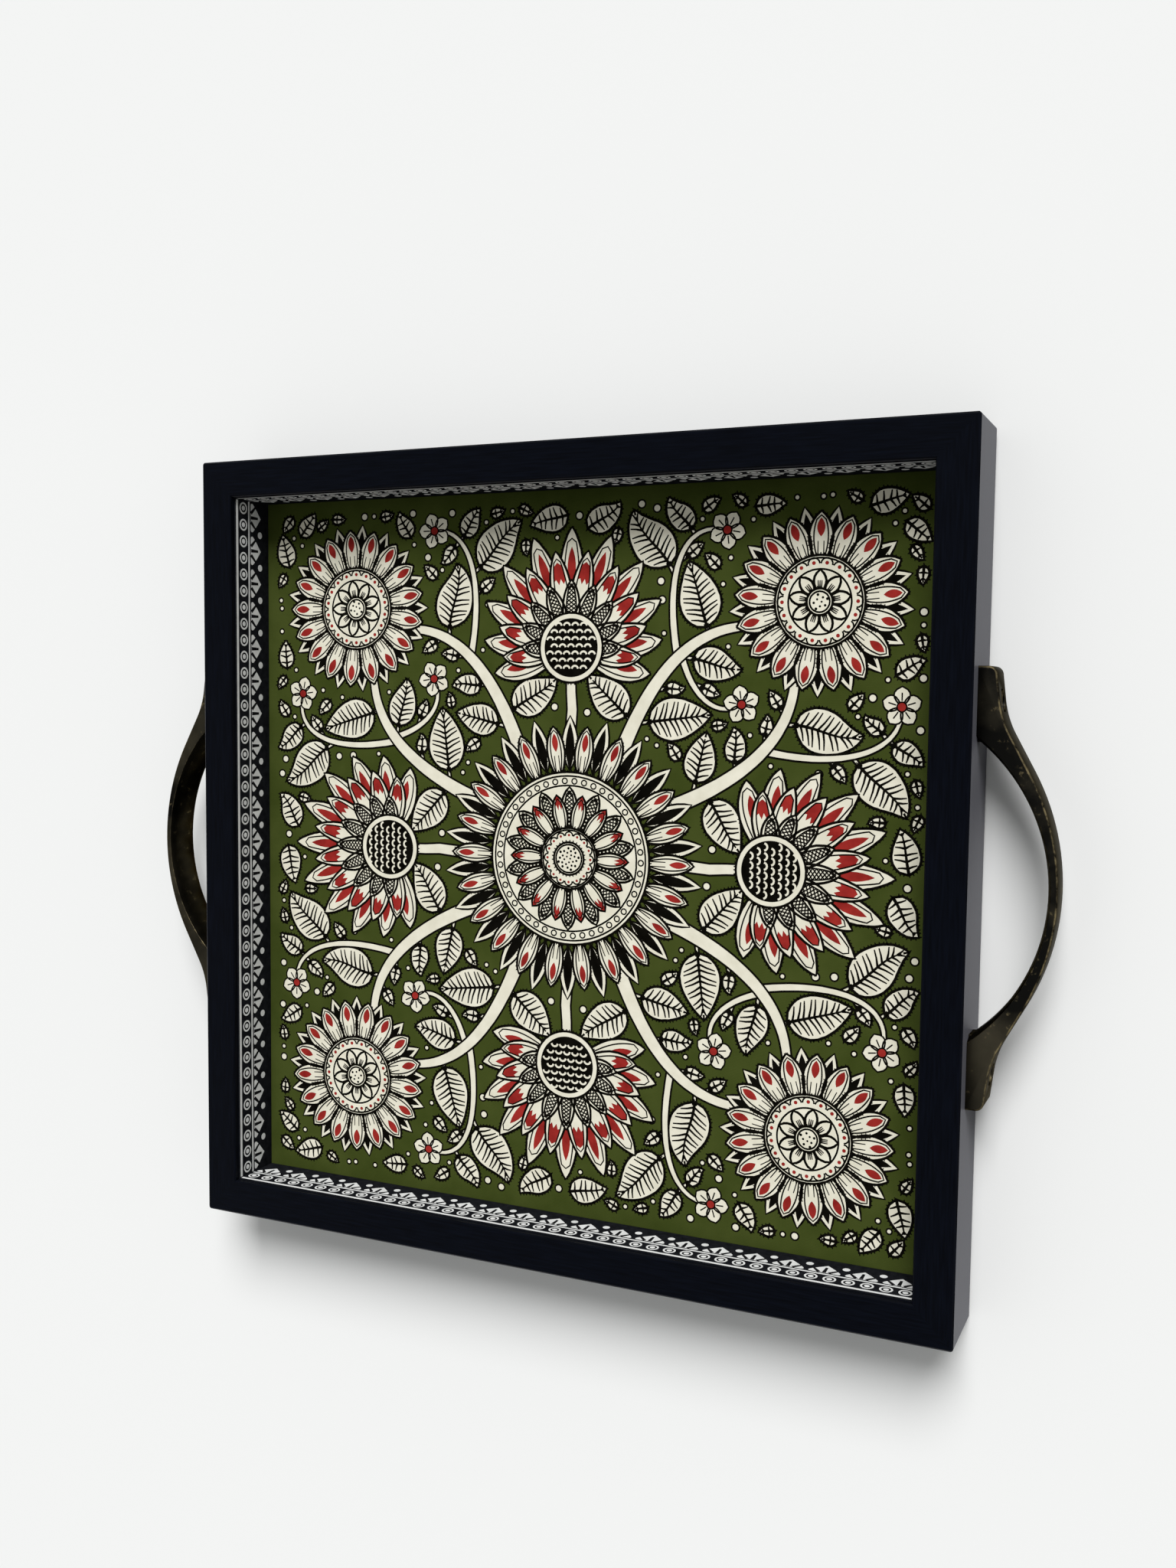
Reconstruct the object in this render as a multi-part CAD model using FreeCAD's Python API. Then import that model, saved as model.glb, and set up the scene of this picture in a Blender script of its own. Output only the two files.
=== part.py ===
"""Square serving tray: a deep mitred wooden frame with a printed cloth floor and two cast bow handles.

Millimetres. The tray lies flat: +X runs to the right handle, +Y to the top of the picture, and +Z up
out of the tray. The origin is the centre of the tray on the plane that the four rubber pads stand on.
"""
import FreeCAD, Part
import math
import os

V = FreeCAD.Vector

# Driving sizes of the frame
tray_side = 330.0
rail_width = 15.0
rail_depth = 33.0
rebate_width = 6.0
rebate_depth = 7.2
corner_round = 1.2
face_edge_bevel = 0.7
inner_edge_bevel = 0.5
back_edge_bevel = 0.8

# Rubber pads under the frame
pad_height = 2.0
pad_top_radius = 3.9
pad_foot_radius = 3.5
pad_from_corner = 26.0

# Floor of the tray: base panel, board and cloth fill the rebate above the recess
floor_clearance = 0.5
panel_recess = 1.8
panel_thickness = 3.0
pressed_cloth_thickness = 0.4
cloth_rise = 0.1
cloth_rise_from_strip = 0.2
board_thickness = rebate_depth - panel_recess - panel_thickness - pressed_cloth_thickness

# Printed card strips on the inner walls
strip_thickness = 0.5
strip_below_rim = 2.8

# Wire staples that hold the floor in the rebate
staple_crown = 6.0
staple_leg = 12.0
staple_wire_width = 1.2
staple_wire_thickness = 0.6
staple_chisel = 0.8
staples_per_side = 3
staple_pitch = 105.0

# Steel V wedges that pull each mitre together
wedge_leg = 3.2
wedge_thickness = 0.6
wedge_height = 10.0
wedge_insets = (2.8, 6.4)

# Bow handle: "reach" and "height" are distances off the rail, the rest are distances from its middle
handle_width = 15.6
bow_reach = 29.2
bow_outer_radius = 88.0
bow_inner_radius = 68.0
bow_thickness = 3.5
bow_arc_end = 42.0
leg_end = 55.0
ankle_radius = 34.0
foot_taper_deg = 7.0
foot_shoulder = 76.0
foot_end = 79.0
foot_corner_round = 3.0
foot_lip_height = 1.2
outer_edge_bevel = 0.6
inner_bevel_side = 1.1
inner_bevel_face = 3.2

# Countersunk wood screws, two to a handle
screw_from_middle = 67.0
screw_head_height = 6.6
screw_head_radius = 4.0
screw_shank_radius = 1.6
screw_length = 20.0
screw_point_length = 4.0
cross_length = 4.4
cross_width = 1.1
cross_depth = 1.8
hole_play = 0.15

# Levels and planes that follow from the driving sizes
half_side = tray_side / 2
half_opening = half_side - rail_width
half_rebate = half_opening + rebate_width
frame_bottom = pad_height
frame_top = frame_bottom + rail_depth
floor_top = frame_bottom + rebate_depth
panel_bottom = frame_bottom + panel_recess
board_bottom = panel_bottom + panel_thickness
cloth_bottom = board_bottom + board_thickness
handle_level = frame_bottom + rail_depth / 2
strip_top = frame_top - strip_below_rim
screw_head_start = screw_head_height - (screw_head_radius - screw_shank_radius)
point_start = screw_head_height - screw_length + screw_point_length

OUTWARD = V(1, 0, 0)
tolerance = 0.01


def centred_box(half_x, half_y, low, high):
    """A box centred on the Z axis between two levels."""
    return Part.makeBox(2 * half_x, 2 * half_y, high - low, V(-half_x, -half_y, low))


def edges_where(shape, test):
    """The edges of a shape that pass a test of the edge and its centre of mass."""
    return [edge for edge in shape.Edges if test(edge, edge.CenterOfMass)]


def quarter_turned(shape, turns):
    """A copy turned anticlockwise about the Z axis by quarter turns."""
    copy = shape.copy()
    copy.rotate(V(0, 0, 0), V(0, 0, 1), 90 * turns)
    return copy


# Mitred frame
def frame_ring():
    """The four rails as one ring: arrises eased, and the floor's rebate cut from below."""

    def is_upright(edge, centre):
        low, high = sorted(vertex.Point.z for vertex in edge.Vertexes)
        return high - low > rail_depth / 2

    block = centred_box(half_side, half_side, frame_bottom, frame_top)
    block = block.makeFillet(corner_round, edges_where(block, is_upright))
    block = block.makeChamfer(face_edge_bevel, edges_where(block, lambda e, c: c.z > frame_top - tolerance))
    under = edges_where(block, lambda e, c: c.z < frame_bottom + tolerance)
    block = block.makeChamfer(back_edge_bevel, under)
    ring = block.cut(centred_box(half_opening, half_opening, frame_bottom - 1, frame_top + 1))
    ring = ring.cut(centred_box(half_rebate, half_rebate, frame_bottom - 1, floor_top))

    def is_inner_rim(edge, centre):
        inside = max(abs(centre.x), abs(centre.y)) < half_opening + tolerance
        return inside and centre.z > frame_top - tolerance

    return ring.makeChamfer(inner_edge_bevel, edges_where(ring, is_inner_rim))


def right_quarter():
    """The quarter of the plan between the two mitres of the right rail."""
    reach = half_side + 10
    triangle = [V(0, 0, 0), V(reach, -reach, 0), V(reach, reach, 0), V(0, 0, 0)]
    return Part.Face(Part.makePolygon(triangle)).extrude(V(0, 0, frame_top + 10))


def v_wedge(inset):
    """One bent steel wedge across the mitre at +X +Y, driven in flush with the underside."""
    tip = half_side - inset
    thick = wedge_thickness
    bent_plan = [
        (0, 0),
        (-wedge_leg, 0),
        (-wedge_leg, -thick),
        (-thick, -thick),
        (-thick, -wedge_leg),
        (0, -wedge_leg),
        (0, 0),
    ]
    outline = Part.makePolygon([V(tip + x, tip + y, frame_bottom) for x, y in bent_plan])
    return Part.Face(outline).extrude(V(0, 0, wedge_height))


# Floor of the tray
def floor_sheet(bottom, thickness):
    half = half_rebate - floor_clearance
    return centred_box(half, half, bottom, bottom + thickness)


def picture_cloth():
    """The cloth: its margin is pressed thin under the rails, and it stands a little higher inside them."""
    half_clear = half_opening - strip_thickness - cloth_rise_from_strip
    margin = floor_sheet(cloth_bottom, pressed_cloth_thickness)
    return margin.fuse(centred_box(half_clear, half_clear, cloth_bottom, floor_top + cloth_rise)).removeSplitter()


def panel_staple(along):
    """A wire staple under the right side of the base panel, its crown along the rail, legs upward."""
    across = half_opening + rebate_width / 2
    thick = staple_wire_thickness
    half = staple_crown / 2
    low = panel_bottom - thick
    tip = low + staple_leg
    half_view = [(half, low), (half, tip), (half - thick, tip - staple_chisel), (half - thick, panel_bottom)]
    side_view = half_view + [(-y, z) for y, z in reversed(half_view)] + half_view[:1]
    start = across - staple_wire_width / 2
    outline = Part.makePolygon([V(start, along + y, z) for y, z in side_view])
    return Part.Face(outline).extrude(V(staple_wire_width, 0, 0))


def panel_staples():
    """Staples along the middle of the rebate, evenly spaced on all four sides."""
    first = -staple_pitch * (staples_per_side - 1) / 2
    places = [first + n * staple_pitch for n in range(staples_per_side)]
    return [quarter_turned(panel_staple(along), side) for side in range(4) for along in places]


def border_strip(half_length):
    """A printed card strip on the inner face of the right rail, with its foot on the cloth."""
    corner = V(half_opening - strip_thickness, -half_length, floor_top)
    return Part.makeBox(strip_thickness, 2 * half_length, strip_top - floor_top, corner)


def pad(x, y):
    """A low rubber pad that narrows towards its foot."""
    return Part.makeCone(pad_foot_radius, pad_top_radius, pad_height, V(x, y, 0))


# Bow handle
def ankle_points():
    """Where the slanting leg turns through the ankle's hollow arc into the foot's gentle taper."""
    slant = math.asin(bow_arc_end / bow_outer_radius)
    taper = math.radians(foot_taper_deg)
    arc_end_height = bow_reach - bow_outer_radius * (1 - math.cos(slant))
    leg_end_height = arc_end_height - (leg_end - bow_arc_end) * math.tan(slant)
    centre_height = leg_end_height + ankle_radius * math.cos(slant)
    centre_along = leg_end + ankle_radius * math.sin(slant)

    def on_ankle(angle):
        height = centre_height - ankle_radius * math.cos(angle)
        return V(height, centre_along - ankle_radius * math.sin(angle), 0)

    return V(arc_end_height, bow_arc_end, 0), on_ankle(slant), on_ankle((slant + taper) / 2), on_ankle(taper)


def half_outline():
    """Half of the bow's side view, X off the rail and Y along it, closed on its middle line."""
    arc_end, leg, ankle_middle, heel = ankle_points()
    half_slant = math.asin(bow_arc_end / bow_outer_radius) / 2
    arc_middle_height = bow_reach - bow_outer_radius * (1 - math.cos(half_slant))
    arc_middle = V(arc_middle_height, bow_outer_radius * math.sin(half_slant), 0)
    outer_apex = V(bow_reach, 0, 0)
    inner_apex = V(bow_reach - bow_thickness, 0, 0)

    shoulder_height = heel.x - (foot_shoulder - heel.y) * math.tan(math.radians(foot_taper_deg))
    shoulder = V(shoulder_height, foot_shoulder, 0)
    corner = V(shoulder_height - foot_corner_round, foot_end, 0)
    corner_middle = V(corner.x, foot_shoulder, 0) + V(1, 1, 0) * (foot_corner_round * math.sqrt(0.5))

    inner_centre_height = inner_apex.x - bow_inner_radius
    lip_angle = math.acos((foot_lip_height - inner_centre_height) / bow_inner_radius)
    lip = V(foot_lip_height, bow_inner_radius * math.sin(lip_angle), 0)
    inner_middle_height = inner_centre_height + bow_inner_radius * math.cos(lip_angle / 2)
    inner_middle = V(inner_middle_height, bow_inner_radius * math.sin(lip_angle / 2), 0)

    outline = [
        Part.Arc(outer_apex, arc_middle, arc_end),
        Part.LineSegment(arc_end, leg),
        Part.Arc(leg, ankle_middle, heel),
        Part.LineSegment(heel, shoulder),
        Part.Arc(shoulder, corner_middle, corner),
        Part.LineSegment(corner, V(0, foot_end, 0)),
        Part.LineSegment(V(0, foot_end, 0), V(0, lip.y, 0)),
        Part.LineSegment(V(0, lip.y, 0), lip),
        Part.Arc(lip, inner_middle, inner_apex),
        Part.LineSegment(inner_apex, outer_apex),
    ]
    return Part.Wire([curve.toShape() for curve in outline])


def bow_handle():
    """The cast bow on the right rail: a crisp outer arris, a shallow inner bevel, two screw holes."""
    half = Part.Face(half_outline()).extrude(V(0, 0, handle_width))
    bow = half.fuse(half.mirror(V(0, 0, 0), V(0, 1, 0))).removeSplitter()
    bow.translate(V(half_side, 0, handle_level - handle_width / 2))

    def lies_level(edge):
        levels = [vertex.Point.z for vertex in edge.Vertexes]
        return max(levels) - min(levels) < tolerance

    def is_outer(edge, centre):
        inner = abs(getattr(edge.Curve, "Radius", 0) - bow_inner_radius) < tolerance
        return lies_level(edge) and not inner and centre.x - half_side > foot_lip_height

    bow = bow.makeChamfer(outer_edge_bevel, edges_where(bow, is_outer))
    return bow.cut([bevel_cone(1), bevel_cone(-1), screw_hole(1), screw_hole(-1)])


def bevel_cone(side):
    """A flat cone about the inner arc's axis, which bevels the finger gap's upper or lower edge."""
    past = 1.5
    arc_centre = half_side + bow_reach - bow_thickness - bow_inner_radius
    start = V(arc_centre, 0, handle_level + side * (handle_width / 2 - inner_bevel_face))
    wide_radius = bow_inner_radius + past * inner_bevel_side
    return Part.makeCone(bow_inner_radius, wide_radius, past * inner_bevel_face, start, V(0, 0, side))


# Handle screws
def on_screw_axis(end, height):
    """The point on a foot's screw axis that is this far out from the right rail's outer face."""
    return V(half_side + height, end * screw_from_middle, handle_level)


def screw_hole(end):
    """The hole through a foot: clearance for the shank, a seat for the head, and a way in above it."""
    shank_radius = screw_shank_radius + hole_play
    mouth_radius = screw_head_radius + hole_play
    seat_start = screw_head_start + hole_play
    seat_end = screw_head_height + hole_play
    shank = Part.makeCylinder(shank_radius, seat_start + 1, on_screw_axis(end, -1), OUTWARD)
    seat_place = on_screw_axis(end, seat_start)
    seat = Part.makeCone(shank_radius, mouth_radius, seat_end - seat_start, seat_place, OUTWARD)
    mouth = Part.makeCylinder(mouth_radius, bow_reach, on_screw_axis(end, seat_end), OUTWARD)
    return shank.fuse([seat, mouth])


def screw_shank(end, top):
    """The pointed shank of a screw from its tip up to a height above the rail."""
    shank = Part.makeCylinder(screw_shank_radius, top - point_start, on_screw_axis(end, point_start), OUTWARD)
    tip = on_screw_axis(end, point_start - screw_point_length)
    return shank.fuse(Part.makeCone(0, screw_shank_radius, screw_point_length, tip, OUTWARD))


def wood_screw(end):
    """A countersunk screw with a cross recess, seated in a foot and run into the right rail."""
    head_depth = screw_head_height - screw_head_start
    head_place = on_screw_axis(end, screw_head_start)
    head = Part.makeCone(screw_shank_radius, screw_head_radius, head_depth, head_place, OUTWARD)
    screw = screw_shank(end, screw_head_start).fuse(head)
    for along, across in ((cross_length, cross_width), (cross_width, cross_length)):
        corner = on_screw_axis(end, screw_head_height - cross_depth) - V(0, along / 2, across / 2)
        screw = screw.cut(Part.makeBox(cross_depth, along, across, corner))
    return screw.removeSplitter()


# The whole tray
def add_frame(nodes, staples):
    """Rails with their sockets for staples, wedges and screws, and the wedges themselves."""
    ring = frame_ring()
    wedges = []
    for turns, corner in enumerate(("top_right", "top_left", "bottom_left", "bottom_right")):
        pair = [quarter_turned(v_wedge(inset), turns) for inset in wedge_insets]
        nodes[f"mitre_wedges_{corner}"] = Part.makeCompound(pair)
        wedges += pair
    for turns, side in enumerate(("right", "top", "left", "bottom")):
        rail = ring.common(quarter_turned(right_quarter(), turns))
        fillers = [piece for piece in staples + wedges if piece.BoundBox.intersect(rail.BoundBox)]
        if side in ("right", "left"):
            fillers += [quarter_turned(screw_shank(end, 0), turns) for end in (1, -1)]
        nodes[f"rail_{side}"] = rail.cut(fillers)


def add_floor(nodes, staples):
    """Base panel, board and cloth, each pierced by the staples."""
    nodes["base_panel"] = floor_sheet(panel_bottom, panel_thickness).cut(staples)
    nodes["picture_board"] = floor_sheet(board_bottom, board_thickness).cut(staples)
    nodes["picture_cloth"] = picture_cloth().cut(staples)
    nodes["panel_staples"] = Part.makeCompound(staples)


def add_border(nodes):
    """The right and left strips run full length, and the top and bottom ones fit between them."""
    for turns, side in enumerate(("right", "top", "left", "bottom")):
        half_length = half_opening - strip_thickness * (turns % 2)
        nodes[f"border_strip_{side}"] = quarter_turned(border_strip(half_length), turns)


def add_handles(nodes):
    """The same bow and screws on both sides, half a turn apart."""
    bow = bow_handle()
    for side, turns, ends in (("right", 0, ("top", "bottom")), ("left", 2, ("bottom", "top"))):
        nodes[f"handle_{side}"] = quarter_turned(bow, turns)
        nodes[f"handle_screw_{side}_{ends[0]}"] = quarter_turned(wood_screw(1), turns)
        nodes[f"handle_screw_{side}_{ends[1]}"] = quarter_turned(wood_screw(-1), turns)


def add_pads(nodes):
    """Four pads on the flat under the top and bottom rails, between the bevel and the rebate."""
    across = (half_rebate + half_side - back_edge_bevel) / 2
    along = half_side - pad_from_corner
    for top_or_bottom, y in (("top", across), ("bottom", -across)):
        for right_or_left, x in (("right", along), ("left", -along)):
            nodes[f"pad_{top_or_bottom}_{right_or_left}"] = pad(x, y)


def main():
    nodes = {}
    staples = panel_staples()
    add_frame(nodes, staples)
    add_floor(nodes, staples)
    add_border(nodes)
    add_handles(nodes)
    add_pads(nodes)
    os.makedirs("parts", exist_ok=True)
    for name, shape in nodes.items():
        shape.exportStep(f"parts/{name}.step")
        print(name, "solids", len(shape.Solids), "volume", round(shape.Volume, 1), "valid", shape.isValid())


main()
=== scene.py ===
# %% [markdown]
# This lesson dresses a square serving tray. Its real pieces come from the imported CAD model: four mitred
# rails, a floor in a rebate, printed strips on the inner walls, and two cast bow handles. Blender adds the
# lacquer, the brass, the cloth and the printed ornament. All sizes below are in millimetres until a shape
# is made, because the tray was measured in them, and `MM` turns them into Blender's metres.

import cmath
import math
import random

import bpy
from mathutils import Matrix, Vector


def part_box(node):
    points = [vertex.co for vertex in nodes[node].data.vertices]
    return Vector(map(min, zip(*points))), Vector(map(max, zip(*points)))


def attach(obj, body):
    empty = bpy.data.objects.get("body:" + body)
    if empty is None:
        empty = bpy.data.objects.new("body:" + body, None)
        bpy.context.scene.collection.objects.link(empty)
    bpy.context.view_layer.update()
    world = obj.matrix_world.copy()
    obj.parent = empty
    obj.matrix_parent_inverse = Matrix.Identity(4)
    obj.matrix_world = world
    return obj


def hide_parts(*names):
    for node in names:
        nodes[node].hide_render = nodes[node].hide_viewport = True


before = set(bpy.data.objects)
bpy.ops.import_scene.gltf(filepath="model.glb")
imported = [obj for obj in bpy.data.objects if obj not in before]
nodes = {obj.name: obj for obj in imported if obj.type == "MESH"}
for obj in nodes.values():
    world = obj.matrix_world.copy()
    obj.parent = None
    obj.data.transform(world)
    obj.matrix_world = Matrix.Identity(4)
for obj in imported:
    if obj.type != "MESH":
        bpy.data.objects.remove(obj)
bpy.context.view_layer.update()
MM = 0.001

# %% [markdown]
# The levels and walls that the looks have to meet are read from the CAD boxes, so that they follow if the
# tray changes. The clear floor reaches from strip to strip.

# %% Levels and walls
rim_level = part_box("rail_right")[1].z
floor_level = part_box("picture_cloth")[1].z
strip_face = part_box("border_strip_right")[0].x
cloth_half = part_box("picture_cloth")[1].x
well_half = strip_face / MM
print("rim", round(rim_level / MM, 2), "floor", round(floor_level / MM, 2), "clear half", round(well_half, 2))

# %% [markdown]
# The camera stands where the photograph was taken from: to the right of the tray and half a metre above
# it. Its place, its direction and its small roll were worked out from the corners of the frame. The lens
# shift only centres the picture.

# %% Camera
camera_place = Vector((0.2531, 0.0690, 0.5472))
camera_direction = Vector((-0.4116, -0.0753, -0.9083)).normalized()
camera_roll = math.radians(0.64)

camera_data = bpy.data.cameras.new("camera")
camera_data.sensor_width = 36
camera_data.lens = 33.49
camera_data.shift_x = -0.0015
camera_data.shift_y = 0.0103
camera = bpy.data.objects.new("camera", camera_data)
bpy.context.scene.collection.objects.link(camera)
bpy.context.scene.camera = camera

level_right = camera_direction.cross(Vector((0, 1, 0))).normalized()
level_up = level_right.cross(camera_direction)
axes = Matrix((level_right, level_up, -camera_direction)).transposed()
rolled = axes @ Matrix.Rotation(camera_roll, 3, "Z")
camera.matrix_world = Matrix.Translation(camera_place) @ rolled.to_4x4()
print("camera looks down at", round(math.degrees(math.asin(-camera_direction.z)), 1), "degrees")

# %% [markdown]
# The tray lies on a plain pale floor. The world is the same pale tone where it is seen or mirrored, and it
# lights the tray at less than half that strength. A soft sun from beyond the tray's top, a little to the
# right, does the rest: in the photograph the top wall throws soft shade on the cloth, the bottom wall is
# the brightest, and the left wall comes next. A sun lights the whole floor evenly, where a lamp would
# burn a bright spot into it.

# %% Pale floor
FLOOR_SIZE = 30  # metres


def pattern_material(name, roughness, metallic=0.0, specular=0.5):
    """A material whose plain numbers sit on its shader's own sockets, ready for a pattern."""
    material = bpy.data.materials.new(name)
    material.use_nodes = True
    shader = material.node_tree.nodes["Principled BSDF"]
    shader.inputs["Roughness"].default_value = roughness
    shader.inputs["Metallic"].default_value = metallic
    shader.inputs["Specular IOR Level"].default_value = specular
    return material, material.node_tree, shader


bpy.ops.object.select_all(action="DESELECT")
bpy.ops.mesh.primitive_plane_add(size=FLOOR_SIZE, location=(0, 0, 0))
studio_floor = bpy.context.object
studio_floor.name = "studio_floor"
floor_finish, _, shader = pattern_material("pale_floor", 0.9, specular=0.1)
shader.inputs["Base Color"].default_value = (0.88, 0.885, 0.88, 1)
studio_floor.data.materials.append(floor_finish)
print("floor in metres", FLOOR_SIZE)

# %% World
STRENGTH_AS_LIGHT = 0.4
STRENGTH_AS_SEEN = 1.0


def math_node(tree, operation, *values):
    """One step of arithmetic on the outputs of other nodes."""
    node = tree.nodes.new("ShaderNodeMath")
    node.operation = operation
    for value, socket in zip(values, node.inputs):
        tree.links.new(value, socket)
    return node.outputs[0]


world = bpy.data.worlds.new("pale_studio")
bpy.context.scene.world = world
world.use_nodes = True
tree = world.node_tree
background = tree.nodes["Background"]
background.inputs["Color"].default_value = (0.86, 0.87, 0.86, 1)
rays = tree.nodes.new("ShaderNodeLightPath").outputs
seen = math_node(tree, "MAXIMUM", rays["Is Camera Ray"], rays["Is Glossy Ray"])
seen_or_through = math_node(tree, "MAXIMUM", seen, rays["Is Transmission Ray"])
strength = tree.nodes.new("ShaderNodeMapRange")
strength.inputs["To Min"].default_value = STRENGTH_AS_LIGHT
strength.inputs["To Max"].default_value = STRENGTH_AS_SEEN
tree.links.new(seen_or_through, strength.inputs["Value"])
tree.links.new(strength.outputs["Result"], background.inputs["Strength"])
print("world as light", STRENGTH_AS_LIGHT, "and as seen", STRENGTH_AS_SEEN)

# %% Sun
sun_data = bpy.data.lights.new("window_sun", "SUN")
sun_data.energy = 3.15
sun_data.angle = math.radians(30)
sun = bpy.data.objects.new("window_sun", sun_data)
bpy.context.scene.collection.objects.link(sun)
sun_place = Vector((0.6, 2.3, 2.2))
aim = (-sun_place).to_track_quat("-Z", "Y").to_matrix().to_4x4()
sun.matrix_world = Matrix.Translation(sun_place) @ aim
print("sun stands", round(math.degrees(math.asin(sun_place.normalized().z))), "degrees high")

# %% [markdown]
# The floor is cloth that was drawn with a reed pen: pale shapes on green, black outlines with a fringe of
# tiny teeth, and a little red. The lesson draws a garden of flowers and leaves in these inks. An image
# would blur when seen close up, so each patch of ink is a thin slab with a crisp edge. There are thousands
# of pen strokes, far too many to place by hand, so small functions draw them. A point in the plane is one
# complex number, because then adding moves a shape and multiplying turns it. `PEN` makes every black line
# heavier or finer at once.

# %% Pen and inks
hand = random.Random(11)
FULL_TURN = 2 * math.pi
PEN = 1.33
TOO_SHORT = 1e-6


def polar(length, degrees):
    return cmath.rect(length, math.radians(degrees))


def new_block():
    """A printing block: for each ink its shapes, each with the layer that it lies in."""
    return {"cream": [], "red": [], "black": []}


def fill(block, ink, layer, outline):
    block[ink].append((layer, list(outline), None))


def line_edges(path, width, end_width, closed=False):
    """Both edges of a line along a path. Its width changes evenly from start to end."""
    count = len(path)
    left, right = [], []
    for n, here in enumerate(path):
        before = path[n - 1] if closed or n else here
        after = path[(n + 1) % count] if closed or n < count - 1 else here
        along = after - before
        if abs(along) < TOO_SHORT:
            along = 1
        across = 1j * along / abs(along) * (width + (end_width - width) * n / max(1, count - 1)) / 2
        left.append(here + across)
        right.append(here - across)
    return left, right


def stroke(block, ink, layer, path, width, end_width=None, closed=False):
    """A pen line along a path, which can narrow towards its end."""
    end_width = width if end_width is None else end_width
    weight = PEN if ink == "black" else 1
    left, right = line_edges(path, width * weight, end_width * weight, closed)
    if closed:
        left.append(left[0])
        right.append(right[0])
    block[ink].append((layer, left, right))


print("inks", list(new_block()))

# %% [markdown]
# A hand wavers a little, so outlines get slow small waves. The fringe of teeth is what makes this way of
# drawing easy to recognise: short ticks stand outwards at even steps round each leaf and petal.

# %% Wavering lines and teeth
WAVER = 0.35
WAVER_TURN = 137.5


def wobbly(path, size=0.16):
    """The same path as a hand would draw it. Each point is pushed its own way."""
    pitches = (hand.uniform(0.15, 0.3), hand.uniform(0.5, 0.8))
    phases = (hand.uniform(0, FULL_TURN), hand.uniform(0, FULL_TURN))
    moved, travelled = [], 0.0
    for n, here in enumerate(path):
        travelled += abs(here - path[n - 1]) if n else 0
        push = sum(math.sin(pitch * travelled + phase) for pitch, phase in zip(pitches, phases))
        moved.append(here + size * push * WAVER * polar(1, WAVER_TURN * n % 360))
    return moved


def resampled(path, step):
    """Points at even steps along a path."""
    points, left_over = [path[0]], 0.0
    for a, b in zip(path, path[1:]):
        length = abs(b - a)
        travelled = step - left_over
        while travelled <= length:
            points.append(a + (b - a) * travelled / length)
            travelled += step
        left_over = length - (travelled - step)
    return points


def fringe(block, layer, outline, pitch=1.45, reach=1.05, width=0.8):
    """Small teeth that stand outwards from a closed outline."""
    closed = list(outline) + [outline[0]]
    area = sum((a.conjugate() * b).imag for a, b in zip(closed, closed[1:]))
    side = -1j if area > 0 else 1j
    points = resampled(closed, pitch)
    for a, b in zip(points, points[1:]):
        along = (b - a) / (abs(b - a) or 1)
        out = side * along
        root = a - out * 0.25
        tip = a + out * reach * hand.uniform(0.85, 1.15) + along * hand.uniform(-0.25, 0.25)
        half = along * width / 2
        fill(block, "black", layer, [root + half, root - half, tip - half * 0.45, tip + half * 0.45])


# %% [markdown]
# Leaves and petals are all blades: a rib from the root to the tip, and two edges whose distance from it
# swells and closes again. The numbers set where a blade is widest and how pointed it ends.

# %% Blades and circles
def blade(length, width, bend, swell, tip, points):
    """The rib and the two edges of a blade that grows from 0 to the right."""
    rib, left, right = [], [], []
    curl = math.pi * 0.85
    for n in range(points + 1):
        t = n / points
        centre = length * (t + 1j * bend * t * math.sin(curl * t))
        slope = 1 + 1j * bend * (math.sin(curl * t) + curl * t * math.cos(curl * t))
        half = width / 2 * max(0.0, math.sin(math.pi * t ** swell)) ** tip
        across = 1j * slope / abs(slope) * half
        rib.append(centre)
        left.append(centre + across)
        right.append(centre - across)
    return rib, left, right


def closed_blade(left, right):
    return right + left[-2:0:-1]


def placed(path, base, direction):
    """A path that starts at 0 and points right, moved to its base and turned."""
    turn = polar(1, direction)
    return [base + turn * point for point in path]


def circle(centre, radius, pitch=1.0):
    count = max(8, int(FULL_TURN * radius / pitch))
    return [centre + cmath.rect(radius, FULL_TURN * n / count) for n in range(count)]


# %% [markdown]
# A leaf gets a firm outline, teeth, a midrib that thins out, and slanting veins on both sides. A petal has
# one of four fillings: a ragged red tip, a small red flame, pen rays, or a net. Changing the filling from
# ring to ring keeps a flower lively, which is how such prints are drawn.

# %% Leaf
LEAF_WIDTH = 0.64
LEAF_SWELL, LEAF_TIP = 0.72, 0.8


def leaf_blade(length, bend, points):
    return blade(length, length * LEAF_WIDTH, bend, LEAF_SWELL, LEAF_TIP, points)


def leaf(block, layer, base, direction, length, bend):
    points = max(8, int(length / 1.5))
    rib, left, right = leaf_blade(length, bend, points)
    outline = wobbly(placed(closed_blade(left, right), base, direction))
    rib, left, right = (placed(line, base, direction) for line in (rib, left, right))
    fill(block, "cream", layer, outline)
    stroke(block, "black", layer, outline, 0.8, closed=True)
    fringe(block, layer, outline)
    stroke(block, "black", layer, rib[: int(len(rib) * 0.92)], 1.0, 0.45)
    veins = max(3, int(length / 2.2))
    reach = max(1, round(points * 0.13))
    for n in range(1, veins):
        spot = n / veins * points
        k = min(int(spot), points - 1)
        root = rib[k] + (rib[k + 1] - rib[k]) * (spot - k)
        ahead = min(k + reach, points)
        for edge in (left, right):
            end = rib[ahead] + (edge[ahead] - rib[ahead]) * 0.8
            middle = (root + end) / 2 + (rib[ahead] - rib[k]) * 0.07
            stroke(block, "black", layer, [root, middle, end], 0.74, 0.38)


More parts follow.
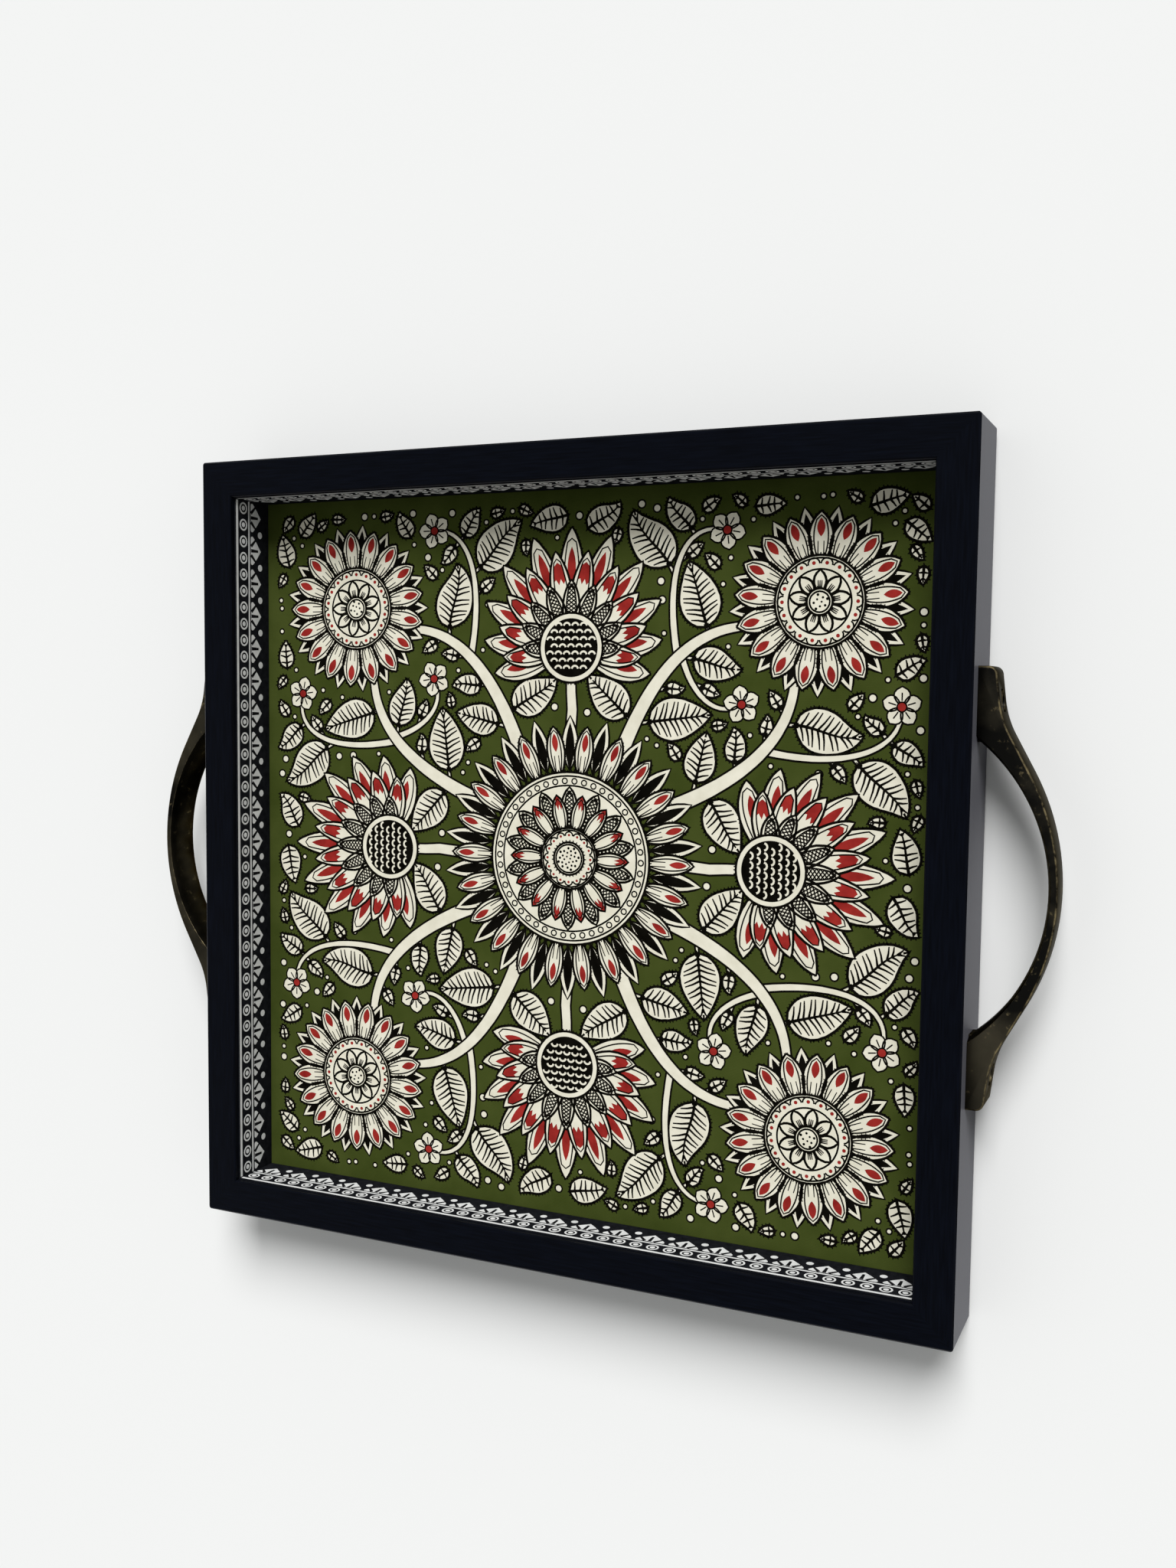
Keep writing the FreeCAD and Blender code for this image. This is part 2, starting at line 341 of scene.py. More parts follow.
# %% Fillings of a petal
def red_tip(block, layer, base, direction, rib, inner_left, inner_right):
    """Red in the upper half of a petal, with a ragged lower edge."""
    top, low = int(len(rib) * 0.84), int(len(rib) * 0.7)
    across = inner_left[low] - inner_right[low]
    step = rib[low + 1] - rib[low]
    ragged = [inner_right[low] + across * n / 5 - step * (1.0 if n % 2 else -0.5) for n in range(1, 5)]
    upper = inner_right[low : top + 1] + [rib[min(top + 1, len(rib) - 1)]] + inner_left[top : low - 1 : -1]
    fill(block, "red", layer, placed(upper + ragged[::-1], base, direction))


def red_flame(block, layer, base, direction, rib, length, width):
    """A small red flame in a pale eye, with pen rays below it."""
    eye = base + polar(1, direction) * rib[int(len(rib) * 0.5)]
    _, left, right = blade(length * 0.34, width * 0.34, 0, 1.0, 0.8, 7)
    fill(block, "red", layer, placed(closed_blade(left, right), eye, direction))
    for spread in (-0.12, 0.12):
        ray = [point + 1j * width * spread for point in rib[2 : int(len(rib) * 0.5)]]
        stroke(block, "black", layer, placed(ray, base, direction), 0.4, 0.28)


def net(block, layer, base, direction, rib, inner_left, inner_right):
    """Crossed pen lines inside a petal."""
    last = len(rib) - 2
    for n in range(1, last):
        for start, end in ((inner_left, inner_right), (inner_right, inner_left)):
            line = [start[n], end[min(n + 2, last)]]
            stroke(block, "black", layer, placed(line, base, direction), 0.42)


# %% Petal
PETAL_TIP = 0.72


def petal(block, layer, base, direction, length, width, style, bend=0.0, swell=1.15):
    points = max(7, int(length / 1.5))
    _, left, right = blade(length, width, bend, swell, PETAL_TIP, points)
    outline = wobbly(placed(closed_blade(left, right), base, direction), 0.12)
    fill(block, "cream", layer, outline)
    stroke(block, "black", layer, outline, 0.75, closed=True)
    if style == "toothed":
        fringe(block, layer, outline, 1.5, 0.85, 0.65)
    rib, inner_left, inner_right = blade(length, width * 0.6, bend, swell, PETAL_TIP, points)
    if style == "rayed":
        for spread in (-0.5, 0.0, 0.5):
            ray = [r + (l - r) * spread for r, l in zip(rib, inner_left)]
            stroke(block, "black", layer, placed(ray[1 : int(points * 0.72)], base, direction), 0.5, 0.3)
        return
    if style == "netted":
        net(block, layer, base, direction, rib, inner_left, inner_right)
    elif style == "toothed":
        red_flame(block, layer, base, direction, rib, length, width)
    else:
        red_tip(block, layer, base, direction, rib, inner_left, inner_right)
    top = int(points * 0.9)
    inner = inner_right[2 : top + 1] + [rib[min(points, top + 1)]] + inner_left[top:1:-1]
    stroke(block, "black", layer, placed(inner, base, direction), 0.45)


# %% [markdown]
# Flowers are rings. Petals stand in a whorl, dark sepals show between them, and a disc with circles,
# arches, beads or seeds closes the middle. Each inner ring lies one layer higher and hides the roots of
# the ring outside it, so nothing has to be trimmed.

# %% Rings of a flower
def whorl(block, layer, centre, inner, outer, count, width, style, phase=0.0):
    for n in range(count):
        direction = 360 * (n + phase) / count
        petal(block, layer, centre + polar(inner, direction), direction, outer - inner, width, style)


def lobe(block, layer, base, direction, length, width, swell, tip, points=7, pen=0.5):
    """A small pale blade with a pen outline."""
    _, left, right = blade(length, width, 0, swell, tip, points)
    outline = placed(closed_blade(left, right), base, direction)
    fill(block, "cream", layer, outline)
    stroke(block, "black", layer, outline, pen, closed=True)


def dark_whorl(block, layer, centre, inner, outer, count, width, phase=0.5):
    """Dark sepals with a pale edge, which show between the petals."""
    length = outer - inner
    for n in range(count):
        direction = 360 * (n + phase) / count
        base = centre + polar(inner, direction)
        lobe(block, layer, base, direction, length, width, 1.0, 0.9, 8, 0.6)
        _, left, right = blade(length * 0.88, width * 0.56, 0, 1.0, 0.9, 8)
        fill(block, "black", layer, placed(closed_blade(left, right), base, direction))


# %% Middle of a flower
GOLDEN_ANGLE = 137.508


def disc(block, layer, centre, radius, rings=()):
    """A pale toothed disc with circles inside it, given as shares of its radius."""
    rim = wobbly(circle(centre, radius), 0.1)
    fill(block, "cream", layer, rim)
    stroke(block, "black", layer, rim, 0.7, closed=True)
    fringe(block, layer, rim)
    for share in rings:
        stroke(block, "black", layer, wobbly(circle(centre, radius * share), 0.08), 0.55, closed=True)


def arches(block, layer, centre, radius, count):
    """A ring of little arches, each over a red dot."""
    half = math.pi * radius / count
    for n in range(count):
        direction = 360 * n / count
        base = centre + polar(radius, direction)
        arch = [base + polar(half * 0.92, direction - 95 + 190 * k / 7) for k in range(8)]
        stroke(block, "black", layer, arch, 0.5)
        fill(block, "red", layer, circle(base + polar(half * 0.15, direction), half * 0.3, 0.5))


def seeds(block, layer, centre, radius, count):
    """Seeds at the golden angle, each further out and a little larger than the last."""
    for n in range(count):
        place = centre + polar(radius * math.sqrt((n + 0.5) / count), GOLDEN_ANGLE * n)
        fill(block, "black", layer, circle(place, 0.42 + 0.2 * n / count, 0.55))


def beads(block, layer, centre, radius, count, size):
    for n in range(count):
        bead = circle(centre + polar(radius, 360 * n / count), size, 0.7)
        stroke(block, "black", layer, bead, 0.45, closed=True)


def scales(block, layer, centre, radius, size, facing):
    """A dark disc covered in rows of pale scales, each scale a rounded arc."""
    fill(block, "black", layer, circle(centre, radius))
    rows = int(2 * radius / size)
    for row in range(-rows, rows + 1):
        for column in range(-rows, rows + 1):
            spot = complex(row * size * 0.85, (column + 0.5 * (row % 2)) * size * 1.1)
            if abs(spot) + size * 0.45 > radius:
                continue
            arc = [spot + polar(size * 0.42, -80 + 160 * k / 6) for k in range(7)]
            stroke(block, "cream", layer + 1, placed(arc, centre, facing), 0.8)


# %% [markdown]
# The middle of the cloth holds one large flower, the corners hold smaller ones, and at the middle of each
# side a flower opens like a fan.

# %% The three flowers
def middle_flower():
    block = new_block()
    dark_whorl(block, 3, 0, 36, 58.5, 22, 7.2)
    whorl(block, 4, 0, 32, 54.5, 22, 7.9, "toothed")
    disc(block, 5, 0, 35.5, (0.955, 0.845))
    beads(block, 5, 0, 31.9, 46, 1.15)
    whorl(block, 6, 0, 11, 29.4, 14, 7.0, "netted", 0.5)
    whorl(block, 7, 0, 9, 26.5, 14, 6.4, "tipped")
    disc(block, 8, 0, 12.6, (0.93,))
    arches(block, 8, 0, 9.4, 16)
    disc(block, 9, 0, 6.7, (0.86,))
    seeds(block, 9, 0, 4.9, 26)
    return block


def corner_flower(block, centre, radius, petals, turn):
    r = radius / 33
    dark_whorl(block, 3, centre, 14 * r, radius, petals, 7.0 * r, 0.5 + turn)
    whorl(block, 4, centre, 12 * r, 31 * r, petals, 8.6 * r, "toothed", turn)
    disc(block, 5, centre, 16 * r, (0.94, 0.7))
    arches(block, 5, centre, 13.1 * r, 18)
    whorl(block, 6, centre, 2.5 * r, 11 * r, 9, 4.4 * r, "rayed", turn)
    disc(block, 7, centre, 4.6 * r, (0.78,))
    seeds(block, 7, centre, 3.0 * r, 9)


OUTER_FAN = 1.1
FANS = (
    # layer, petals, length and width as shares of the flower's size, half angle, style
    (3, 11, OUTER_FAN, 0.25, 104, "toothed"),
    (4, 10, 0.9, 0.21, 94, "tipped"),
    (5, 9, 0.62, 0.17, 86, "netted"),
)


def fan_reach(size, spread):
    """How far a fan reaches at an angle from its middle."""
    return size * (0.8 + 0.2 * math.cos(math.radians(spread)))


def fan_flower(block, base, direction, size):
    """Three fans of petals, the outer one drawn first, and a disc of scales over their roots."""
    for layer, count, reach, width, start, style in FANS:
        for n in range(count):
            spread = start - 2 * start * n / (count - 1)
            length, bend = fan_reach(size * reach, spread), 0.1 * spread / start
            petal(block, layer, base, direction + spread, length, size * width, style, bend, 1.3)
    disc(block, 6, base, size * 0.32)
    scales(block, 7, base, size * 0.27, 3.4, direction)


# %% [markdown]
# Pale stalks tie the flowers together. Buds, small flowers and dots fill what is left between the leaves.

# %% Stalks and fillers
def curve_between(a, b, c, d, points=26):
    """A Bezier curve from a to d, drawn towards b and c."""
    path = []
    for n in range(points + 1):
        t = n / points
        path.append(a * (1 - t) ** 3 + 3 * b * t * (1 - t) ** 2 + 3 * c * t ** 2 * (1 - t) + d * t ** 3)
    return path


def stalk(block, layer, path, width, end_width):
    """A pale stalk with a pen line down each side."""
    left, right = line_edges(path, width, end_width)
    fill(block, "cream", layer, right + left[::-1])
    for edge in (left, right):
        stroke(block, "black", layer, wobbly(edge, 0.1), 0.6)


def bud(block, layer, base, direction, size):
    """A bud of three lobes."""
    for spread, length in ((-38, 0.8), (38, 0.8), (0, 1.0)):
        lobe(block, layer, base, direction + spread, size * length, size * 0.5, 1.2, 0.7)
    fill(block, "red", layer, circle(base + polar(size * 0.62, direction), size * 0.11, 0.5))


def small_flower(block, layer, centre, radius, turn):
    """A flower of five petals."""
    for n in range(5):
        direction = turn + 72 * n
        lobe(block, layer, centre, direction, radius, radius * 0.8, 1.3, 0.7)
        ray = [centre + polar(radius * share, direction) for share in (0.3, 0.7)]
        stroke(block, "black", layer, ray, 0.4)
    fill(block, "red", layer + 1, circle(centre, radius * 0.24, 0.6))
    stroke(block, "black", layer + 1, circle(centre, radius * 0.24, 0.7), 0.45, closed=True)


# %% [markdown]
# Only a quarter of the garden is drawn, and it is stamped four times round the middle, each time a quarter
# turn further. The ground remembers what is taken as round spots, and each new motif goes in only if it is
# clear of them all, the turned copies included. Large leaves are tried first, small ones after.

# %% Keeping track of free ground
QUARTERS = (1, 1j, -1, -1j)
EDGE_OF_PRINT = 145.0
LEAF_GAP = 0.25
taken = []


def take(spots):
    taken.extend((centre * turn, radius) for centre, radius in spots for turn in QUARTERS)


def is_free(spots):
    for centre, radius in spots:
        if max(abs(centre.real), abs(centre.imag)) + radius > EDGE_OF_PRINT:
            return False
        if any(abs(centre - other) < radius + size for other, size in taken):
            return False
        if any(abs(centre - other * turn) < radius + size for other, size in spots for turn in QUARTERS[1:]):
            return False
    return True


def leaf_spots(base, direction, length, bend):
    """Round spots that cover a leaf and a little ground round it."""
    rib, left, _ = leaf_blade(length, bend, 8)
    turn = polar(1, direction)
    return [(base + turn * r, abs(l - r) + LEAF_GAP) for r, l in zip(rib[1:], left[1:])]


# %% Stalks of the garden
CORNER_PLACE = 103 + 103j
FAN_PLACE = 86j
FAN_SIZE = 44.0
main_stalks = [
    (curve_between(22 + 42j, 36 + 78j, 54 + 96j, 80 + 94j), 6.5, 3.6),
    (curve_between(42 + 22j, 78 + 36j, 96 + 54j, 94 + 80j), 6.5, 3.6),
]
side_stalks = [
    (curve_between(46.5 + 81j, 40 + 112j, 46 + 136j, 66 + 131j), 3.4, 1.8),
    (curve_between(81 + 46.5j, 112 + 40j, 136 + 46j, 135 + 64j), 3.4, 1.8),
    (curve_between(48 + 83j, 52 + 68j, 62 + 58j, 73 + 64j), 3.0, 1.8),
]
for path, _, _ in main_stalks + side_stalks:
    print("stalk in mm", round(sum(abs(b - a) for a, b in zip(path, path[1:]))))


def draw_frame_of_garden(block):
    corner_flower(block, CORNER_PLACE, 36.0, 17, 0.25)
    take([(0, 58.0), (CORNER_PLACE, 37.0)])
    fan_flower(block, FAN_PLACE, 90, FAN_SIZE)
    for spread in range(-108, 109, 18):
        reach = fan_reach(FAN_SIZE * OUTER_FAN, spread)
        take((FAN_PLACE + polar(reach * share, 90 + spread), 5.4) for share in (0.35, 0.6, 0.86))
    stalk(block, 2, [50j, 0.8 + 61j, 0.3 + 68j, 80j], 5.0, 4.2)
    take([(61j, 3.6), (66j, 3.6), (71j, 3.6)])
    for path, width, end_width in main_stalks:
        stalk(block, 2, path, width, end_width)
    for path, width, end_width in side_stalks:
        stalk(block, 1, path, width, end_width)
        small_flower(block, 3, path[-1], 7.6, math.degrees(cmath.phase(path[-1] - path[-2])))
        take([(path[-1], 8.8)])


# %% [markdown]
# A leaf on a stalk starts beside it on its own little stem, and leans forward. Its spots are tested
# against the flowers, the other leaves and the stalks. Stems lie in the lowest layer, then come the side
# stalks, the main stalks and the flowers, so each hides the ends that grow out of it.

# %% Leaves and buds on the stalks
LEAF_TRIES = 3


def along_stalks(spacing):
    """Each stalk as points at even steps, each with the stalk's half width there."""
    for path, width, end_width in main_stalks + side_stalks:
        steps = resampled(path, spacing)
        yield [(point, (width + (end_width - width) * n / len(steps)) / 2) for n, point in enumerate(steps)]


def growing_places(spacing):
    """Where a stem can start: a point of a stalk, the stalk's half width there and its heading."""
    for steps in along_stalks(spacing):
        for before, (here, half), after in zip(steps, steps[1:], steps[2:]):
            yield here, half, math.degrees(cmath.phase(after[0] - before[0]))


def grow_buds(block):
    """Buds on short stems, wherever a stalk has room left beside it."""
    for size in (9, 7.5, 6):
        for here, half, heading in growing_places(4.0):
            for side in (-1, 1):
                direction = heading + side * hand.uniform(50, 80)
                base = here + polar(half + 2.2, direction)
                spots = [(base + polar(size * 0.55, direction), size * 0.5)]
                if is_free(spots):
                    stalk(block, 0, [here, base + polar(1.5, direction)], 1.6, 1.4)
                    bud(block, 0, base, direction, size)
                    take(spots)


def grow_leaves(block):
    stalk_points = [spot for steps in along_stalks(2.5) for spot in steps]
    turned_points = [(point * turn, half) for point, half in stalk_points for turn in QUARTERS[1:]]
    for length in (27, 24, 21, 18.5, 16, 14, 12, 10, 8.5):
        for here, half, heading in growing_places(3.0):
            for side in (-1, 1) * LEAF_TRIES:
                lean = hand.uniform(36, 88)
                direction = heading + side * lean
                off = (half + hand.uniform(0.8, 2.4)) / math.sin(math.radians(lean))
                base = here + polar(off, direction)
                shape = (base, direction, length, hand.uniform(-0.22, 0.22))
                spots = leaf_spots(*shape)
                near = any(abs(c - p) < r + size - 0.8 for c, r in spots[1:] for p, size in stalk_points)
                near = near or any(abs(c - p) < r + size for c, r in spots for p, size in turned_points)
                if near or not is_free(spots):
                    continue
                stalk(block, 0, [here, base + polar(1.5, direction)], 1.7, 1.4)
                leaf(block, 0, *shape)
                take(spots)
    take((point, half + 0.9) for point, half in stalk_points)
    grow_buds(block)


# %% Fillers in the gaps
FILLERS = (
    # kind, size, tries
    ("leaf", 26, 1500), ("leaf", 23, 2500), ("leaf", 20, 3000), ("flower", 8, 500),
    ("leaf", 17.5, 3500), ("leaf", 15, 4000), ("leaf", 12.5, 4500), ("flower", 5.5, 600),
    ("leaf", 10.5, 5000), ("bud", 8, 1500), ("leaf", 8.5, 6000), ("leaf", 7, 6000),
    ("bud", 5.5, 2000), ("dot", 1.6, 2500), ("dot", 1.1, 2500),
)


def fill_gaps(block):
    """Each filler is tried at random places, and stays where the ground is free."""
    for kind, size, tries in FILLERS:
        for _ in range(tries):
            base = complex(hand.uniform(-20, EDGE_OF_PRINT), hand.uniform(0, EDGE_OF_PRINT))
            direction = hand.uniform(0, 360)
            bend = hand.uniform(-0.2, 0.2)
            if kind == "leaf":
                spots = [(base, 0.8)] + leaf_spots(base, direction, size, bend)
            elif kind == "bud":
                spots = [(base, 0.8), (base + polar(size * 0.5, direction), size * 0.5 + 0.5)]
            else:
                spots = [(base, size + 0.6)]
            if not is_free(spots):
                continue
            if kind == "leaf":
                leaf(block, 0, base, direction, size, bend)
            elif kind == "bud":
                bud(block, 0, base, direction, size)
            elif kind == "flower":
                small_flower(block, 0, base, size, direction)
            else:
                fill(block, "cream", 0, circle(base, size, 0.6))
                stroke(block, "black", 0, circle(base, size, 0.6), 0.5, closed=True)
            take(spots)


garden = new_block()
draw_frame_of_garden(garden)
grow_leaves(garden)
fill_gaps(garden)
middle = middle_flower()
for ink in garden:
    print(ink, "shapes in a quarter", len(garden[ink]), "in the middle", len(middle[ink]))

# %% [markdown]
# Each ink shape becomes a slab that stands on the cloth. Each layer is about two hundredths of a millimetre
# thicker than the one below it, so it covers it cleanly. Two slabs of one height that overlap would share
# a face and render black there, so neighbours in a layer also differ a little. The inks are separate
# pieces, one for each quarter of the garden.

# %% From pen shapes to slabs of ink
INK_STEP = 0.006
SHAPE_STEP = 0.0006
SHAPE_LEVELS = 10
PRINT_DEPTH = 0.03
INK_ORDER = {"cream": 0, "red": 1, "black": 2}
INK_NAME = {"cream": "pale_ground", "red": "red_touches", "black": "pen_lines"}
print("one layer in mm", round(len(INK_ORDER) * INK_STEP, 3))


def ink_slabs(name, shapes, ink, place):
    """Closed slabs from flat shapes. place turns a flat point and a height into a point of the tray."""
    corners, faces = [], []
    for number, (layer, left, right) in enumerate(shapes):
        level = len(INK_ORDER) * layer + INK_ORDER[ink]
        height = PRINT_DEPTH + INK_STEP * level + SHAPE_STEP * (number % SHAPE_LEVELS)
        outline = left if right is None else left + right[::-1]
        count, start = len(outline), len(corners)
        corners += [place(point, 0) for point in outline] + [place(point, height) for point in outline]
        if right is None:
            faces.append([start + n for n in reversed(range(count))])
            faces.append([start + count + n for n in range(count)])
        else:
            for n in range(len(left) - 1):
                quad = (n, n + 1, count - 2 - n, count - 1 - n)
                faces.append([start + k for k in quad])
                faces.append([start + count + k for k in reversed(quad)])
        faces += [[start + n, start + (n + 1) % count, start + count + (n + 1) % count, start + count + n]
                  for n in range(count)]
    mesh = bpy.data.meshes.new(name)
    mesh.from_pydata(corners, [], faces)
    piece = bpy.data.objects.new(name, mesh)
    bpy.context.scene.collection.objects.link(piece)
    bpy.ops.object.select_all(action="DESELECT")
    piece.select_set(True)
    bpy.context.view_layer.objects.active = piece
    bpy.ops.object.mode_set(mode="EDIT")
    bpy.ops.mesh.select_all(action="SELECT")
    bpy.ops.mesh.normals_make_consistent(inside=False)
    bpy.ops.object.mode_set(mode="OBJECT")
    return piece


def on_cloth(turn):
    """Places a point of the drawing on the clear floor, a turn further round."""

    def place(point, height):
        turned = point * turn
        return (turned.real * MM, turned.imag * MM, floor_level + height * MM)

    return place


# %% [markdown]
# Cotton that was dyed and printed is matte. Its threads cross at under half a millimetre, and the dye took
# unevenly. The inks soaked in, so they are as matte as the cloth, and only their tone drifts a little. The
# weave is two sets of fine waves in the cloth's own Object coordinates.

# %% Cloth and ink finishes
def ramp_node(tree, value, start, end):
    """A ramp that is black up to start and white from end on."""
    ramp = tree.nodes.new("ShaderNodeValToRGB")
    ramp.color_ramp.elements[0].position = start
    ramp.color_ramp.elements[1].position = end
    tree.links.new(value, ramp.inputs["Fac"])
    return ramp


def drift(tree, shader, low, high, scale, detail=3.0, stretch=(1, 1, 1), span=(0.3, 0.7)):
    """Lets the base colour drift between two tones with a noise of this scale."""
    place = tree.nodes.new("ShaderNodeTexCoord")
    mapping = tree.nodes.new("ShaderNodeMapping")
    mapping.inputs["Scale"].default_value = stretch
    noise = tree.nodes.new("ShaderNodeTexNoise")
    noise.inputs["Scale"].default_value = scale
    noise.inputs["Detail"].default_value = detail
    ramp = ramp_node(tree, noise.outputs["Fac"], *span)
    ramp.color_ramp.elements[0].color = (*low, 1)
    ramp.color_ramp.elements[1].color = (*high, 1)
    tree.links.new(place.outputs["Object"], mapping.inputs["Vector"])
    tree.links.new(mapping.outputs["Vector"], noise.inputs["Vector"])
    tree.links.new(ramp.outputs["Color"], shader.inputs["Base Color"])
    return mapping, noise, ramp


def bump(tree, shader, height, strength, distance):
    node = tree.nodes.new("ShaderNodeBump")
    node.inputs["Strength"].default_value = strength
    node.inputs["Distance"].default_value = distance
    tree.links.new(height, node.inputs["Height"])
    tree.links.new(node.outputs["Normal"], shader.inputs["Normal"])


def cloth_finish():
    material, tree, shader = pattern_material("green_cotton", 0.9, specular=0.0)
    mapping, _, _ = drift(tree, shader, (0.042, 0.057, 0.011), (0.059, 0.076, 0.017), 60)
    waves = []
    for direction in ("X", "Y"):
        wave = tree.nodes.new("ShaderNodeTexWave")
        wave.bands_direction = direction
        wave.inputs["Scale"].default_value = 750
        wave.inputs["Distortion"].default_value = 0.6
        tree.links.new(mapping.outputs["Vector"], wave.inputs["Vector"])
        waves.append(wave.outputs["Fac"])
    bump(tree, shader, math_node(tree, "MULTIPLY", *waves), 0.35, 0.0001)
    return material


def ink_finish(name, low, high):
    material, tree, shader = pattern_material(name, 0.85, specular=0.0)
    drift(tree, shader, low, high, 180)
    return material


green_cotton = cloth_finish()
ink_finishes = {
    "cream": ink_finish("cream_ground", (0.72, 0.69, 0.56), (0.82, 0.79, 0.66)),
    "red": ink_finish("madder_red", (0.22, 0.016, 0.014), (0.36, 0.03, 0.024)),
    "black": ink_finish("iron_black", (0.0025, 0.0023, 0.0016), (0.006, 0.0054, 0.004)),
}
print("finishes", len(bpy.data.materials))

# %% [markdown]
# The cloth is one sheet of 311 by 311 mm, stretched over the board. The rails press its margin a tenth of
# a millimetre thinner. A grid is enough for a flat sheet: the margin is pushed down, and a Solidify
# modifier gives it its thickness, downwards onto the board.

# %% Cloth sheet
EDGE_GAP = 0.2 * MM
PRESSED = 0.1 * MM
clear_half = strip_face - EDGE_GAP
bpy.ops.object.select_all(action="DESELECT")
bpy.ops.mesh.primitive_plane_add(size=2 * clear_half, location=(0, 0, floor_level))
cloth = bpy.context.object
cloth.name = "printed_cloth"
bpy.ops.object.mode_set(mode="EDIT")
bpy.ops.mesh.select_all(action="SELECT")
bpy.ops.mesh.subdivide(number_cuts=30)
bpy.ops.mesh.select_all(action="SELECT")
bpy.ops.mesh.region_to_loop()
bpy.ops.mesh.extrude_edges_move(TRANSFORM_OT_translate={"value": (0, 0, -PRESSED)})
bpy.ops.mesh.extrude_edges_move(TRANSFORM_OT_translate={"value": (0, 0, 0)})
bpy.ops.transform.resize(value=(cloth_half / clear_half, cloth_half / clear_half, 1))
bpy.ops.object.mode_set(mode="OBJECT")
bpy.ops.object.transform_apply(location=True, rotation=True, scale=True)
board_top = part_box("picture_board")[1].z
thickness = cloth.modifiers.new("thickness", "SOLIDIFY")
thickness.thickness = floor_level - board_top - PRESSED
thickness.offset = -1
bpy.ops.object.modifier_apply(modifier="thickness")
cloth.data.materials.append(green_cotton)
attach(cloth, "root")
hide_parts("picture_cloth")
print("cloth in mm", [round(v / MM, 1) for v in cloth.dimensions])

# %% [markdown]
# Now the blocks are stamped: the garden four times, the middle flower once.


def stamp(block, label, turn):
    for ink, shapes in block.items():
        piece = ink_slabs(f"{label}_{INK_NAME[ink]}", shapes, ink, on_cloth(turn))
        piece.data.materials.append(ink_finishes[ink])
        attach(piece, "root")


stamp(middle, "middle_flower", 1)
for turn, side in zip(QUARTERS, ("top", "left", "bottom", "right")):
    stamp(garden, f"garden_{side}", turn)

# %% [markdown]
# The inner walls carry a printed card border: a white line under the lip, a row of rings with dots, a
# second line, then pointed fans with a dot between each two. Such a border is common ornament. One repeat
# holds two rings and one fan, and 21 repeats fill a wall. Its shapes are drawn like the cloth's, with
# the wall's length to the right and the depth below the rim downwards.

# %% One repeat of the border
REPEATS = 21
LONG_LINES = ((3.9, 1.35), (12.0, 0.95))
RING_DEPTH, FAN_DEPTH, DOT_DEPTH = 8.2, 13.3, 19.7
repeat_length = 2 * well_half / REPEATS


def border_fan(block, middle_x):
    """A pointed fan with round upper corners, and three dark slits that run down from its top."""
    base = complex(middle_x, -FAN_DEPTH)
    left_edge = [
        (-5.3, 0), (-6.0, 0.25), (-6.2, 0.9), (-5.9, 1.6), (-4.9, 2.7), (-3.2, 4.3), (-1.5, 5.7), (0, 7.0),
    ]
    right_edge = [(-x, depth) for x, depth in reversed(left_edge[:-1])]
    fill(block, "cream", 0, [base + complex(x, -depth) for x, depth in left_edge + right_edge])
    for spread, length in ((-42, 4.0), (0, 4.9), (42, 4.0)):
        root = base + complex(spread * 0.045, -0.1)
        stroke(block, "black", 1, [root, root + polar(length, -90 + spread)], 1.15, 0.75)


def border_repeat(start):
    block = new_block()
    for n in range(2):
        centre = complex(start + repeat_length * (0.25 + 0.5 * n), -RING_DEPTH)
        stroke(block, "cream", 0, circle(centre, 2.2, 0.8), 0.75, closed=True)
        fill(block, "cream", 0, circle(centre, 1.1, 0.7))
    border_fan(block, start + repeat_length * 0.5)
    fill(block, "cream", 0, circle(complex(start, -DOT_DEPTH), 1.5, 0.8))
    return block


def wall_border():
    """All repeats of one wall and its two long lines. The dot on the corner is left out."""
    wall = new_block()
    for n in range(REPEATS):
        for ink, shapes in border_repeat(-well_half + n * repeat_length).items():
            wall[ink] += shapes
    wall["cream"] = [shape for shape in wall["cream"] if min(p.real for p in shape[1]) > -well_half]
    inner = well_half - 0.35
    for depth, width in LONG_LINES:
        stroke(wall, "cream", 0, [complex(-inner, -depth), complex(inner, -depth)], width)
    return wall


border = wall_border()
print("border shapes on a wall", {ink: len(shapes) for ink, shapes in border.items()})

# %% [markdown]
# The four walls get the same border, each turned a quarter further. The print stands a few hundredths of a
# millimetre proud of the card.

# %% Print on the walls
SIDES = ("right", "top", "left", "bottom")
white_border = ink_finish("border_white", (0.66, 0.67, 0.67), (0.8, 0.81, 0.81))
border_black = ink_finish("border_black", (0.006, 0.006, 0.007), (0.014, 0.014, 0.015))


def on_wall(turn):
    """Places a point of the border on the inner face of the right wall, turned to another wall."""

    def place(point, height):
        flat = complex(well_half - height, -point.real) * turn
        return (flat.real * MM, flat.imag * MM, rim_level + point.imag * MM)

    return place


border_pieces = []
for turn, side in zip(QUARTERS, SIDES):
    for ink, finish in (("cream", white_border), ("black", border_black)):
        piece = ink_slabs(f"border_{side}_{INK_NAME[ink]}", border[ink], ink, on_wall(turn))
        piece.data.materials.append(finish)
        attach(piece, "root")
        border_pieces.append(piece)
print("border pieces", len(border_pieces))

# %% [markdown]
# The rails are lacquered wood, almost black, with a trace of navy. Brushing left fine streaks along each
# rail, so the noise is stretched along it: one finish runs along X, the other along Y. The lacquer is
# satin. It throws back little light from above, so the specular level is low, and at a flat angle it turns
# greyer, which a little sheen does.

